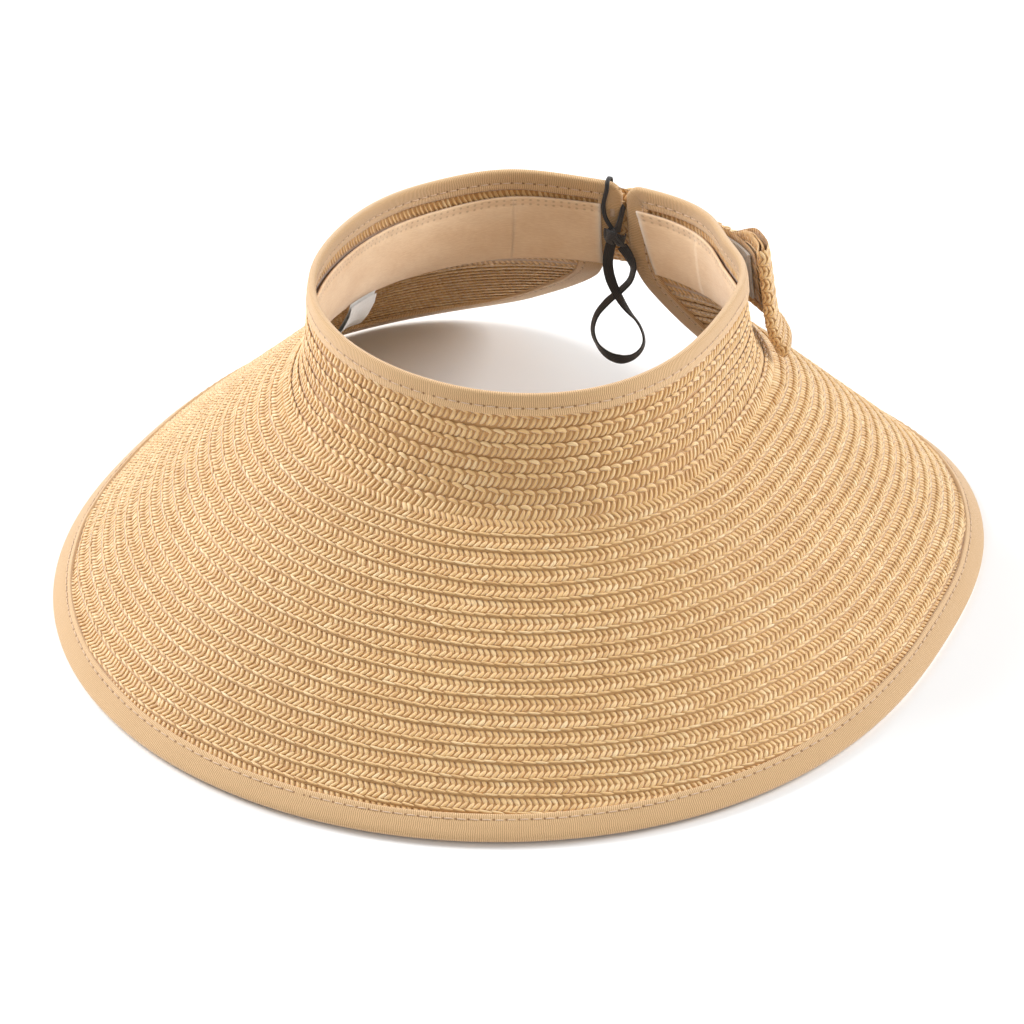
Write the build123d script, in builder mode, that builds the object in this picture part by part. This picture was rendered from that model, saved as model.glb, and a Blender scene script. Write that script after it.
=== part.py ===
from build123d import *
from bisect import bisect_right
import math
import os

# Roll-up straw sun visor, open at the crown and at the back, standing on its brim.
# +Z is up, the front of the brim points to -Y and the wearer's left is +X. Millimetres.
# A place on the visor is given by phi, the angle round the head (0 at the front, 90 at +X,
# 180 at the back), t, the distance down the straw from the top edge, and off, the distance
# out from the middle of the straw's thickness.

# ---- crown ----
HEAD_RADIUS = 88.0          # mean radius of the top edge
HEAD_LONG = 0.084           # how much longer than wide the head opening is
HEAD_SQUARE = -0.016        # how much its corners are filled out
HEAD_SKEW = 0.011           # soft straw never stands quite evenly
CROWN_HEIGHT = 119.0        # top edge above the floor
TOP_DIP = -4.0              # the top edge dips at front and back
TOP_SKEW = -1.8
TOP_LEAN = -3.0
SIDE_DROP = 2.6             # the top edge is that much lower at both sides
BACK_RISE = (2.2, -151.0, 15.0)    # and higher round one place at the back: by how much, phi and width
PRESSED = (6.5, 136.0, 17.0)       # and pressed in beside the bow
TILT_FRONT = 3.2            # degrees, front up
TILT_SIDE = -1.2            # degrees, +X side up

# ---- profile from the top edge down to the brim, degrees from upright ----
CROWN_FLARE = 7.2
BRIM_FLARE = 50.7
BEND_AT = 41.0              # where the crown turns into the brim
BEND_HALF = 14.0
FLARE_FRONT = -1.4
FLARE_ENDS = 2.4
TUCK = 20.0                 # the +X arm hangs steeper near its end
TUCK_WIDTH = 28.0

# ---- straw braid rows ----
STRAW = 1.5                 # thickness
ROW_START = 1.2
CROWN_ROWS = 8
CROWN_FIRST = 8.0           # lower edge of the first row
CROWN_PITCH = 6.0
BRIM_ROWS = 20
BRIM_PITCH = 6.3
ROW_GAP = 0.2
MIN_ROW = 0.6               # a row is cut off where the outline leaves less than this
BLUNT = 1.2                 # a row whose cut is shorter than this, in degrees, ends square

# ---- rounded back ends, half gap between the arms in degrees of phi ----
END_GAP = 0.45
LEFT_END = (0.20, 12.0)     # degrees per mm, and where the end starts to round off
RIGHT_END = (0.165, 30.0)
END_SOFT = 6.0
END_CORNER = 6.0

# ---- ribbons and bands ----
RIBBON = 0.6
RIBBON_GAP = 0.25
BINDING_CROWN = 8.5         # width of ribbon showing on each face
BINDING_BRIM = 10.0
EDGE_INSET = 1.8            # straw stops this far inside the fold of the ribbon
FLOOR_LIFT = 1.35           # middle of the straw above the floor at the outline
BAND_IN = -1.9              # sweatband, outer face
BAND = 0.7
BAND_TOP = 14.0
BAND_LOW = 45.0

# ---- closure and bow on the back ----
TAPE = 1.0
STRAP = 1.0
STRAP_T = (9.3, 33.0)
TAPE_T = (11.0, 31.0)
TAPE_PHI = (168.0, 137.0)
STRAP_PHI = (189.6, 132.0)
ANCHOR_PHI = (190.2, 197.0)
BOW_PHI = 155.5
BOW_HALF = 30.5             # degrees each side of the knot
BOW_T = (4.5, 49.5)
BOW_PINCH = 9.0             # how far the knot pulls each edge in
BOW_LAYER = 1.4
BOW_DROOP = 4.5             # the loop on the -X arm hangs that much lower at its top edge
BOW_SLANT = -0.178          # the loop on the +X arm ends aslant, degrees per mm
BOW_OFF = (2.8, 4.9)        # inner face of the back layer at that end, and over the strap
BOW_OPEN = 2.8              # the layers' distance apart at the ends

# ---- elastic loop ----
ELASTIC_WIDTH = 4.5
ELASTIC_THICK = 0.6
STRAND_WIDTH = 1.8          # pulled narrow where it goes over the top edge
STRAND_THICK = 0.9
ELASTIC_TUBE = 2.0

# ---- the arms turn on the sides of the visor ----
SPLIT = 90.0
SPLIT_GAP = 0.15            # degrees each side

ORIGIN = (3.03, -32.24)      # middle of the outline, in the crown's own axes

os.makedirs("parts", exist_ok=True)


def smooth(x):
    x = min(1.0, max(0.0, x))
    return x * x * (3 - 2 * x)


def wrap(phi):
    return (phi + 180.0) % 360.0 - 180.0


def plan(phi):
    a = math.radians(phi)
    r = HEAD_RADIUS * (
        1 + HEAD_LONG * math.cos(2 * a) + HEAD_SQUARE * math.cos(4 * a) + HEAD_SKEW * math.sin(2 * a)
    )
    return r * math.sin(a), -r * math.cos(a)


def plan_normal(phi, step=0.1):
    x0, y0 = plan(phi - step)
    x1, y1 = plan(phi + step)
    size = math.hypot(x1 - x0, y1 - y0)
    return (y1 - y0) / size, -(x1 - x0) / size


def flare(phi, t):
    """Lean of the straw from upright, in radians."""
    a = math.radians(phi)
    w = wrap(phi)
    low = BRIM_FLARE + FLARE_FRONT * math.cos(a) + FLARE_ENDS * math.cos(2 * a)
    if w > 0:
        low -= TUCK * math.exp(-(((180.0 - w) / TUCK_WIDTH) ** 2))
    s = smooth((t - BEND_AT + BEND_HALF) / (2 * BEND_HALF))
    return math.radians(CROWN_FLARE + (low - CROWN_FLARE) * s)


PROFILES = {}


def profile(phi, t):
    """Distance out and down at t, from the sum of 1 mm steps along the straw."""
    key = round(phi, 4)
    if key not in PROFILES:
        table = [(0.0, 0.0)]
        for i in range(200):
            lean = flare(phi, i + 0.5)
            out, down = table[-1]
            table.append((out + math.sin(lean), down + math.cos(lean)))
        PROFILES[key] = table
    table = PROFILES[key]
    if t <= 0:
        lean = flare(phi, 0)
        return t * math.sin(lean), t * math.cos(lean)
    i = min(int(t), len(table) - 2)
    f = t - i
    return tuple(table[i][k] * (1 - f) + table[i + 1][k] * f for k in (0, 1))


def pressed(phi, t):
    """How far the wall is pressed in, which fades out down the crown."""
    depth, centre, width = PRESSED
    return depth * math.exp(-(((phi - centre) / width) ** 2)) * (1 - smooth((t - 10.0) / 60.0))


def edge_shift(phi, t):
    """How far the top edge is bent up, which fades out down the crown."""
    rise, centre, width = BACK_RISE
    w = (phi + 180.0) % 360.0 - 180.0
    shift = rise * math.exp(-(((w - centre) / width) ** 2)) - SIDE_DROP * math.sin(math.radians(phi)) ** 2
    return shift * (1 - smooth((t - 10.0) / 60.0))


def place(phi, t, off=0.0):
    """A point of the visor, standing on the floor."""
    out, down = profile(phi, t)
    lean = flare(phi, t)
    out += off * math.cos(lean) - pressed(phi, t)
    z = off * math.sin(lean) - down
    x, y = plan(phi)
    nx, ny = plan_normal(phi)
    x, y = x + nx * out, y + ny * out
    ta, tb = math.radians(TILT_FRONT), math.radians(TILT_SIDE)
    y, z = y * math.cos(ta) + z * math.sin(ta), -y * math.sin(ta) + z * math.cos(ta)
    x, z = x * math.cos(tb) + z * math.sin(tb), -x * math.sin(tb) + z * math.cos(tb)
    a = math.radians(phi)
    z += CROWN_HEIGHT + TOP_DIP * math.cos(2 * a) + TOP_SKEW * math.sin(2 * a) + TOP_LEAN * math.sin(a)
    return Vector(x - ORIGIN[0], y - ORIGIN[1], z + edge_shift(phi, t))


def end_gap(t, end):
    """Half gap between the arms at t, in degrees."""
    slope, start = end
    soft = 0.5 * ((t - start) + math.hypot(t - start, END_SOFT))
    return END_GAP + slope * soft + END_CORNER * (t / 150.0) ** 16


def floor_t(phi):
    """Where the straw meets the floor, less the ribbon under it."""
    low, high = 100.0, 198.0
    for _ in range(30):
        mid = (low + high) / 2
        if place(phi, mid).Z > FLOOR_LIFT:
            low = mid
        else:
            high = mid
    return low


# ---- the outline, from the top of one back end round the brim to the other ----
DEGREE = 2.5                # about one degree of phi, in mm, half way down
LEFT_STEPS = (10.8, 21, 32, 46, 62, 80, 98, 114, 126)
RIGHT_STEPS = LEFT_STEPS[:-1]
FLOOR_LEFT, FLOOR_RIGHT = -139.0, 158.0


def outline_points():
    left = [(-180 + end_gap(t, LEFT_END), t) for t in LEFT_STEPS]
    steps = 48
    span = FLOOR_RIGHT - FLOOR_LEFT
    floor = [FLOOR_LEFT + span * i / steps for i in range(steps + 1)]
    right = [(180 - end_gap(t, RIGHT_END), t) for t in reversed(RIGHT_STEPS)]
    return left + [(phi, floor_t(phi)) for phi in floor] + right


with BuildLine() as outline:
    Spline(*[(phi * DEGREE, t) for phi, t in outline_points()])
OUTLINE = outline.line


def metric(phi, t):
    """Millimetres for each degree of phi at this place."""
    return (place(phi + 0.5, t) - place(phi - 0.5, t)).length


def inward(u):
    """Place on the outline at u, and the unit steps in phi and t that lead in from it."""
    p = OUTLINE @ u
    phi, t = p.X / DEGREE, p.Y
    d = OUTLINE % u
    scale = metric(phi, t)
    along_s, along_t = d.X / DEGREE * scale, d.Y
    size = math.hypot(along_s, along_t)
    return phi, t, along_t / size / scale, -along_s / size


def inset_samples(distance):
    found = []
    for i in range(0, 1501, 3):
        phi, t, dphi, dt = inward(i / 1500)
        found.append((phi + dphi * distance, t + dt * distance))
    return sorted(found)


INSET = inset_samples(EDGE_INSET)


INSET_PHI = [phi for phi, t in INSET]


def limit(phi):
    """Lowest t that the straw reaches at phi, inside the fold of the brim ribbon."""
    if phi <= INSET_PHI[0] or phi >= INSET_PHI[-1]:
        return 0.0
    i = bisect_right(INSET_PHI, phi) - 1
    (p0, t0), (p1, t1) = INSET[i], INSET[i + 1]
    return t0 + (t1 - t0) * (phi - p0) / max(1e-9, p1 - p0)


def lofted(sections, ruled=False):
    """A solid through planar polygons, given as lists of corners. Call inside a BuildPart."""
    loft([Face(Wire.make_polygon(corners, close=True)) for corners in sections], ruled=ruled)


def spread(a, b, step):
    """Evenly spaced values from a to b."""
    n = max(2, math.ceil(abs(b - a) / step))
    return [a + (b - a) * i / n for i in range(n + 1)]


def levelled(corners):
    """Corners moved on to one plane."""
    half = len(corners) // 2
    normal = (corners[half] - corners[0]).cross(corners[-1] - corners[half - 1]).normalized()
    centre = sum(corners, Vector()) / len(corners)
    return [p - normal * (p - centre).dot(normal) for p in corners]


def band_section(phi, t0, t1, off0, off1, steps=1, slant=0.0, clear=0.0):
    """Corners of a flat strip's section, which follows the bend of the straw in steps.
    A strip that stands clear of the wall isn't pressed in with it."""
    fall = [t0 + (t1 - t0) * i / steps for i in range(steps + 1)]
    lift = [clear * pressed(phi, t) for t in fall]
    corners = [(t, off0 + more) for t, more in zip(fall, lift)]
    corners += [(t, off1 + more) for t, more in reversed(list(zip(fall, lift)))]
    return levelled([place(phi + slant * (t - (t0 + t1) / 2), t, off) for t, off in corners])


def reach(t, start, stop):
    """How far from start towards stop the outline leaves a row at t."""
    if limit(stop) > t:
        return stop
    near, far = start, stop
    for _ in range(30):
        mid = (near + far) / 2
        if limit(mid) > t:
            near = mid
        else:
            far = mid
    return near


def row(t0, t1, start, middle, stop, step=6.0):
    """One braid row between two angles, trimmed to the outline. Call inside a BuildPart."""
    top, low = t0 + ROW_GAP / 2, t1 - ROW_GAP / 2
    least = top + MIN_ROW

    def section(phi, edge):
        return band_section(phi, top, edge, -STRAW / 2, STRAW / 2)

    fulls = [reach(low, middle, end) for end in (start, stop)]
    if abs(fulls[1] - fulls[0]) > BLUNT:
        dips = min(limit(phi) for phi in spread(*fulls, 1.0)) < low
        stations = spread(*fulls, step / 3 if dips else step)
        lofted([section(phi, min(low, limit(phi))) for phi in stations], ruled=dips)
    for full, end in zip(fulls, (start, stop)):
        last = reach(least, middle, end)
        if abs(last - full) > BLUNT:
            taper = spread(full, last, step / 3)
            lofted([section(phi, max(least, min(low, limit(phi)))) for phi in taper], ruled=True)


def first_row(stop, start, step=6.0):
    """The row under the crown ribbon, which the outline doesn't reach."""
    low = CROWN_FIRST - ROW_GAP / 2
    stations = spread(start, stop, step)
    lofted([band_section(phi, ROW_START, low, -STRAW / 2, STRAW / 2) for phi in stations])


def save(piece, name):
    piece.part.label = name
    export_step(piece.part, f"parts/{name}.step")


# ---- straw rows ----
FRONT = SPLIT - SPLIT_GAP
ARM = SPLIT + SPLIT_GAP
ARM_MIDDLE = 110.0
crown_edges = [CROWN_FIRST + CROWN_PITCH * i for i in range(CROWN_ROWS)]
brim_edges = [crown_edges[-1] + BRIM_PITCH * i for i in range(BRIM_ROWS + 1)]

with BuildPart() as crown_row:
    first_row(-FRONT, FRONT)
save(crown_row, "crown_row_01")

for number, (t0, t1) in enumerate(zip(crown_edges, crown_edges[1:]), start=2):
    with BuildPart() as crown_row:
        row(t0, t1, -FRONT, 0.0, FRONT)
    save(crown_row, f"crown_row_{number:02d}")

for number, (t0, t1) in enumerate(zip(brim_edges, brim_edges[1:]), start=1):
    with BuildPart() as brim_row:
        row(t0, t1, -FRONT, 0.0, FRONT)
    save(brim_row, f"brim_row_{number:02d}")

for side, name in ((-1, "left_arm"), (1, "right_arm")):
    with BuildPart() as arm_crown:
        first_row(side * (180 - END_GAP - 0.5), side * ARM)
        for t0, t1 in zip(crown_edges, crown_edges[1:]):
            row(t0, t1, side * ARM, side * ARM_MIDDLE, side * 179.9)
    save(arm_crown, f"{name}_crown_rows")
    with BuildPart() as arm_brim:
        for t0, t1 in zip(brim_edges, brim_edges[1:]):
            if limit(side * ARM_MIDDLE) > t0 + 2 * MIN_ROW:
                row(t0, t1, side * ARM, side * ARM_MIDDLE, side * 179.9)
    save(arm_brim, f"{name}_brim_rows")

# ---- ribbon round the top edge ----
FACE = STRAW / 2 + RIBBON_GAP


def crown_ribbon(phi):
    outer, inner, low = FACE + RIBBON, FACE, BINDING_CROWN
    corners = [(low, outer), (0, outer), (0, -outer), (low, -outer)]
    corners += [(low, -inner), (RIBBON, -inner), (RIBBON, inner), (low, inner)]
    return [place(phi, t, off) for t, off in corners]


CROWN_END = 180 - END_GAP
for name, start, stop in (
    ("left_arm", -CROWN_END, -ARM),
    ("front", -FRONT, FRONT),
    ("right_arm", ARM, CROWN_END),
):
    with BuildPart() as crown_binding:
        lofted([crown_ribbon(phi) for phi in spread(start, stop, 5.0)])
    save(crown_binding, f"{name}_crown_binding")


# ---- ribbon round the brim and the rounded back ends ----
def brim_ribbon(u):
    """U section square to the outline, its two faces following the straw."""
    phi, t, dphi, dt = inward(u)
    edge = place(phi, t)
    before, after = OUTLINE @ max(0, u - 0.001), OUTLINE @ min(1, u + 0.001)
    along = place(after.X / DEGREE, after.Y) - place(before.X / DEGREE, before.Y)
    along = along.normalized()
    outer, inner, wide = FACE + RIBBON, FACE, BINDING_BRIM
    corners = [(wide, outer), (wide / 2, outer), (0, outer), (0, -outer), (wide / 2, -outer), (wide, -outer)]
    corners += [(wide, -inner), (wide / 2, -inner), (RIBBON, -inner)]
    corners += [(RIBBON, inner), (wide / 2, inner), (wide, inner)]
    points = []
    for a, off in corners:
        p = place(phi + dphi * a, t + dt * a, off)
        points.append(p - along * (p - edge).dot(along))
    return points


def outline_u(phi):
    """The outline's parameter where it crosses phi on the brim."""
    low, high = 0.0, 1.0
    for _ in range(40):
        mid = (low + high) / 2
        if (OUTLINE @ mid).X / DEGREE < phi:
            low = mid
        else:
            high = mid
    return low


RIBBON_STEP = 0.009
for name, start, stop in (
    ("left_arm", 0.0, outline_u(-ARM)),
    ("front", outline_u(-FRONT), outline_u(FRONT)),
    ("right_arm", outline_u(ARM), 1.0),
):
    with BuildPart() as brim_binding:
        lofted([brim_ribbon(u) for u in spread(start, stop, RIBBON_STEP)])
    save(brim_binding, f"{name}_brim_binding")


# ---- sweatband, sewn from five lengths ----
def band_edges(phi):
    """The band narrows towards the back ends."""
    near = math.exp(-(((180 - abs(phi)) / 40.0) ** 2))
    return BAND_TOP - 4.0 * near, BAND_LOW - 7.0 * near


def sweatband(start, stop, slant):
    """A length of the band, whose last end is cut aslant."""
    stations = spread(start, stop, 6.0)
    lean = [slant * max(0.0, 1 - (len(stations) - 1 - i) / 2) for i in range(len(stations))]
    lofted(
        [
            band_section(phi, *band_edges(phi), BAND_IN, BAND_IN - BAND, steps=5, slant=turn)
            for phi, turn in zip(stations, lean)
        ]
    )


for name, start, stop, slant in (
    ("sweatband_left_end", -152.2, -174.0, 0.0),
    ("sweatband_left", -151.8, -ARM, 0.0),
    ("sweatband_front", -FRONT, FRONT, 0.0),
    ("sweatband_right", ARM, 156.8, 0.0),
    ("sweatband_right_end", 157.2, 174.2, -0.16),
):
    with BuildPart() as band:
        sweatband(start, stop, slant)
    save(band, name)

LABEL_PHI = (-112.0, -99.0)
LABEL = ((43.5, -3.0), (59.0, -8.4), (59.0, -9.2), (43.5, -3.8))   # t and off of its corners
with BuildPart() as care_label:
    lofted([levelled([place(phi, t, off) for t, off in LABEL]) for phi in spread(*LABEL_PHI, 3.0)])
save(care_label, "care_label")


# ---- hook and loop closure ----
def strap_off(phi):
    """The strap lies close to the arm it is sewn to, and over the tapes on the other."""
    return 2.25 + 1.35 * smooth((180.0 - phi) / 10.0)


LOOP_OFF = STRAW / 2 + 0.2
HOOK_OFF = LOOP_OFF + TAPE + 0.3
with BuildPart() as loop_tape:
    lofted([band_section(phi, *TAPE_T, LOOP_OFF, LOOP_OFF + TAPE) for phi in spread(*TAPE_PHI, 5.0)])
save(loop_tape, "loop_tape")

with BuildPart() as hook_tape:
    lofted([band_section(phi, *TAPE_T, HOOK_OFF, HOOK_OFF + TAPE, clear=1.0) for phi in spread(*TAPE_PHI, 5.0)])
save(hook_tape, "hook_tape")

with BuildPart() as closure_strap:
    lofted(
        [
            band_section(phi, *STRAP_T, strap_off(phi), strap_off(phi) + STRAP, clear=1.0)
            for phi in spread(*STRAP_PHI, 4.0)
        ]
    )
save(closure_strap, "closure_strap")

with BuildPart() as strap_anchor:
    lofted([band_section(p, *STRAP_T, 2.0, 2.0 + STRAP) for p in spread(*ANCHOR_PHI, 2.5)])
save(strap_anchor, "strap_anchor")

# ---- bow, a folded length of the same braid pulled in by a knot ----
def bow_off(phi):
    """Inner face of the back layer, which comes in past the end of the strap."""
    return BOW_OFF[0] + (BOW_OFF[1] - BOW_OFF[0]) * smooth((phi - 123.5) / 8.5)


def bow_section(phi, lift, depth):
    """Section of one layer, lifted off the back. The knot pulls the edges in."""
    along = min(1.0, abs(phi - BOW_PHI) / BOW_HALF)
    pinch = BOW_PINCH * (1 - smooth(along / 0.55))
    slant = BOW_SLANT * along**2 if phi < BOW_PHI else 0.0
    off = bow_off(phi) + lift
    top = BOW_T[0] + pinch + (BOW_DROOP * smooth(along / 0.5) if phi > BOW_PHI else 0.0)
    return band_section(phi, top, BOW_T[1] - pinch, off, off + depth, slant=slant, clear=1.0)


def bow_open(phi):
    """Distance between the two layers."""
    return 0.4 + (BOW_OPEN - 0.4) * smooth(abs(phi - BOW_PHI) / BOW_HALF / 0.6)


KNOT_HALF = 5.0             # degrees
for side, name in ((-1, "bow_left_loop"), (1, "bow_right_loop")):
    inner = BOW_PHI - side * (KNOT_HALF + 0.2)
    outer = BOW_PHI - side * BOW_HALF
    stations = spread(inner, outer, 4.0)
    with BuildPart() as bow_loop:
        lofted([bow_section(phi, 0.0, BOW_LAYER) for phi in stations])
        lofted([bow_section(phi, BOW_LAYER + bow_open(phi), BOW_LAYER) for phi in stations])
        fold = [(0.0, 0.0), (0.7, 0.4), (1.2, 1.4)]
        depth = 2 * BOW_LAYER + BOW_OPEN
        lofted([bow_section(outer - side * step, trim, depth - 2 * trim) for step, trim in fold], ruled=True)
    save(bow_loop, name)

with BuildPart() as bow_knot:
    span = spread(BOW_PHI - KNOT_HALF, BOW_PHI + KNOT_HALF, 2.5)
    knot_t = (BOW_T[0] + BOW_PINCH - 1.0, BOW_T[1] - BOW_PINCH + 1.0)
    lofted([band_section(phi, *knot_t, BOW_OFF[1], BOW_OFF[1] + 6.0, clear=1.0) for phi in span])
save(bow_knot, "bow_knot")

# ---- elastic loop, looped over the end of the left arm ----
HITCH = Vector(-5.4, 122.9, 87.2)
HITCH_SIZE = (9.0, 5.0, 5.8)
with BuildPart(Plane.XY.offset(HITCH.Z - HITCH_SIZE[2] / 2)) as elastic_hitch:
    with Locations((HITCH.X, HITCH.Y)):
        Box(*HITCH_SIZE, align=(Align.CENTER, Align.CENTER, Align.MIN))
    fillet(elastic_hitch.edges().filter_by(Axis.Z), 1.8)
    fillet(elastic_hitch.faces().sort_by(Axis.Z)[0].edges(), 1.2)
    fillet(elastic_hitch.faces().sort_by(Axis.Z)[-1].edges(), 1.2)
save(elastic_hitch, "elastic_hitch")


def flat_section(centre, across, out, width, thick):
    """Section of the flat elastic."""
    across = across.normalized() * (width / 2)
    out = out.normalized() * (thick / 2)
    return [centre - across - out, centre + across - out, centre + across + out, centre - across + out]


OVER_PHI = -175.9           # where one strand goes over the top edge
OVER_OFF = 2.5              # middle of the strand from the middle of the straw
OVER_CENTRE = 0.9           # t of the centre of the turn over the edge
OVER_END = 7.6
OVER_INSIDE = [(-177.0, 18.6, -4.3), (-175.6, 15.6, -3.7), (-175.0, 12.6, -3.2), (-174.8, 9.0, -2.7)]


def over_stations():
    """Stations (phi, t, off, step in t, step in off) from the hitch up, over the edge and down outside."""
    stations = [(phi, t, off, 0.0, -1.0) for phi, t, off in OVER_INSIDE]
    for i in range(7):
        a = math.pi * i / 6
        dt, doff = -math.sin(a), -math.cos(a)
        stations.append((OVER_PHI, OVER_CENTRE + OVER_OFF * dt, OVER_OFF * doff, dt, doff))
    return stations + [(OVER_PHI, OVER_END, OVER_OFF, 0.0, 1.0)]


with BuildPart() as strand:
    sections = []
    for phi, t, off, dt, doff in over_stations():
        middle = place(phi, t, off)
        across = place(phi + 0.5, 10.0) - place(phi - 0.5, 10.0)
        out = place(phi, t + dt, off + doff) - middle
        sections.append(flat_section(middle, across, out, STRAND_WIDTH, STRAND_THICK))
    lofted(sections, ruled=True)
save(strand, "elastic_strand_over")

GAP_STRAND = [(-4.1, 123.0, 91.6), (-3.9, 124.3, 93.6), (-3.9, 125.9, 94.9), (-3.9, 128.3, 95.4)]
with BuildPart() as strand:
    points = [Vector(*p) for p in GAP_STRAND]
    sections = []
    for before, middle, after in zip([points[0]] + points, points, points[1:] + [points[-1]]):
        run = (after - before).normalized()
        across = run.cross(Vector(1, 0, 0))
        sections.append(flat_section(middle, across, Vector(1, 0, 0), ELASTIC_WIDTH, ELASTIC_THICK))
    lofted(sections, ruled=True)
save(strand, "elastic_strand_gap")

# The loop hangs in a figure of eight, one side passing in front of the other.
LOOP_ROUTE = [
    (-7.2, 122.9, 83.1),
    (-8.6, 122.6, 76.5),
    (-7.6, 122.1, 69.0),
    (-4.2, 121.5, 62.0),
    (0.8, 121.3, 55.0),
    (6.6, 121.9, 49.2),
    (8.8, 122.6, 41.0),
    (5.0, 123.1, 33.2),
    (-2.6, 123.4, 28.8),
    (-10.4, 123.7, 30.6),
    (-15.7, 123.9, 38.2),
    (-14.4, 124.2, 47.2),
    (-9.2, 124.5, 55.0),
    (-3.2, 124.7, 61.4),
    (1.9, 124.3, 68.2),
    (2.6, 123.7, 77.0),
    (-2.4, 122.9, 83.1),
]


def route_radii(points):
    """Radius of the arc at each corner, 0.45 of the shorter run."""
    radii = []
    for a, b, c in zip(points, points[1:], points[2:]):
        turn = math.radians((b - a).get_angle(c - b))
        radii.append(0.45 * min((b - a).length, (c - b).length) / math.tan(turn / 2))
    return radii


route = [Vector(*p) for p in LOOP_ROUTE]
radii = route_radii(route)
with BuildPart() as elastic_loop:
    with BuildLine() as path:
        FilletPolyline(*route, radius=radii)
    with BuildSketch(Plane(origin=route[0], z_dir=route[1] - route[0])):
        Circle(ELASTIC_TUBE / 2)
    sweep(path=path.line)
save(elastic_loop, "elastic_loop")
length = sum(edge.length for edge in path.edges())
tube = math.pi * (ELASTIC_TUBE / 2) ** 2 * length
print("elastic radii", [round(r, 1) for r in radii])
print("elastic length", round(length, 1), "volume", round(elastic_loop.part.volume / tube, 4))

# ---- stitches that hold the elastic and the bow ----
with BuildPart() as end_tack:
    lofted([band_section(phi, 11.6, 15.0, -1.9, -2.3) for phi in (-177.6, -177.0, -176.3)])
save(end_tack, "end_bar_tack")

print("done", len(os.listdir("parts")))
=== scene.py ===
import math

import bpy
import numpy as np
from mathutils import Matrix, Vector


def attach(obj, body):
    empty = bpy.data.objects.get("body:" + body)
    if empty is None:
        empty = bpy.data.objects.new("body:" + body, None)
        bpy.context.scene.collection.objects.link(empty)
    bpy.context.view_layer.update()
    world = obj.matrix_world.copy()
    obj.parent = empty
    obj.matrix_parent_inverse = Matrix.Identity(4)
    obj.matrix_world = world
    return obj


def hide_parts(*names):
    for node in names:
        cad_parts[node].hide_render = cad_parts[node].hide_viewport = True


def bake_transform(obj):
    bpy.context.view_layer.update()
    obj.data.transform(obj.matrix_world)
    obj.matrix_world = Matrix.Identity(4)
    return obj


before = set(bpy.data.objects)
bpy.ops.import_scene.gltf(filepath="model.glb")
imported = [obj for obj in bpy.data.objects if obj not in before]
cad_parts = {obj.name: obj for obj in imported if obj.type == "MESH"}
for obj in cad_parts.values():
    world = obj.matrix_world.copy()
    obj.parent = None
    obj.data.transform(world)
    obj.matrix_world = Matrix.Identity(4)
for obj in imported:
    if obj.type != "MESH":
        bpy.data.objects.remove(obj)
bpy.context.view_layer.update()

# Lengths below are in millimetres until a point is placed; MM turns them into metres.
# A place on the visor is (phi, t, off): degrees round the head from the front (+90 is +X),
# the distance down the straw from the top edge, and the distance out from its middle.
MM = 0.001
STITCH = 4.7                # from one needle hole to the next
rng = np.random.default_rng(11)


def add_object(name, data):
    thing = bpy.data.objects.new(name, data)
    bpy.context.collection.objects.link(thing)
    return thing


# ---------------------------------------------------------------- camera
AZIMUTH, ELEVATION = math.radians(23.551), math.radians(32.47)
TARGET = Vector((0.010416, -0.018187, 0.04058))
DISTANCE = 1.61639
BACK = Vector((
    math.sin(AZIMUTH) * math.cos(ELEVATION),
    -math.cos(AZIMUTH) * math.cos(ELEVATION),
    math.sin(ELEVATION),
))
camera_data = bpy.data.cameras.new("camera")
camera_data.lens = 147.66
camera_data.sensor_width = 36.0
camera_data.clip_end = 20.0
camera = add_object("camera", camera_data)
camera.location = TARGET + BACK * DISTANCE
camera.rotation_euler = BACK.to_track_quat("Z", "Y").to_euler()
bpy.context.scene.camera = camera

# ---------------------------------------------------------------- the visor's shape, as in the CAD
HEAD_RADIUS, HEAD_LONG, HEAD_SQUARE, HEAD_SKEW = 88.0, 0.084, -0.016, 0.011
CROWN_HEIGHT, TOP_DIP, TOP_SKEW, TOP_LEAN = 119.0, -4.0, -1.8, -3.0
TILT_FRONT, TILT_SIDE = math.radians(3.2), math.radians(-1.2)
CROWN_FLARE, BRIM_FLARE, BEND_AT, BEND_HALF = 7.2, 50.7, 41.0, 14.0
FLARE_FRONT, FLARE_ENDS, TUCK, TUCK_WIDTH = -1.4, 2.4, 20.0, 28.0
SIDE_DROP, BACK_RISE, PRESSED = 2.6, (2.2, -151.0, 15.0), (6.5, 136.0, 17.0)
ORIGIN = (3.03, -32.24)
END_GAP, END_SOFT, END_CORNER = 0.45, 6.0, 6.0
LEFT_END, RIGHT_END = (0.20, 12.0), (0.165, 30.0)
FLOOR_LIFT = 1.35
DEGREE = 2.5


def smooth(x):
    x = np.clip(x, 0.0, 1.0)
    return x * x * (3 - 2 * x)


def plan(phi):
    """The top edge seen from above."""
    a = np.radians(phi)
    r = HEAD_RADIUS * (
        1 + HEAD_LONG * np.cos(2 * a) + HEAD_SQUARE * np.cos(4 * a) + HEAD_SKEW * np.sin(2 * a)
    )
    return r * np.sin(a), -r * np.cos(a)


def lean(phi, t):
    """How far the straw leans out from upright."""
    a = np.radians(phi)
    w = (phi + 180.0) % 360.0 - 180.0
    low = BRIM_FLARE + FLARE_FRONT * np.cos(a) + FLARE_ENDS * np.cos(2 * a)
    low = low - np.where(w > 0, TUCK * np.exp(-(((180.0 - w) / TUCK_WIDTH) ** 2)), 0.0)
    bend = smooth((t - BEND_AT + BEND_HALF) / (2 * BEND_HALF))
    return np.radians(CROWN_FLARE + (low - CROWN_FLARE) * bend)


def near_top(t):
    """1 at the top edge, fading to 0 below the bend."""
    return 1 - smooth((t - 10.0) / 60.0)


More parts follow.
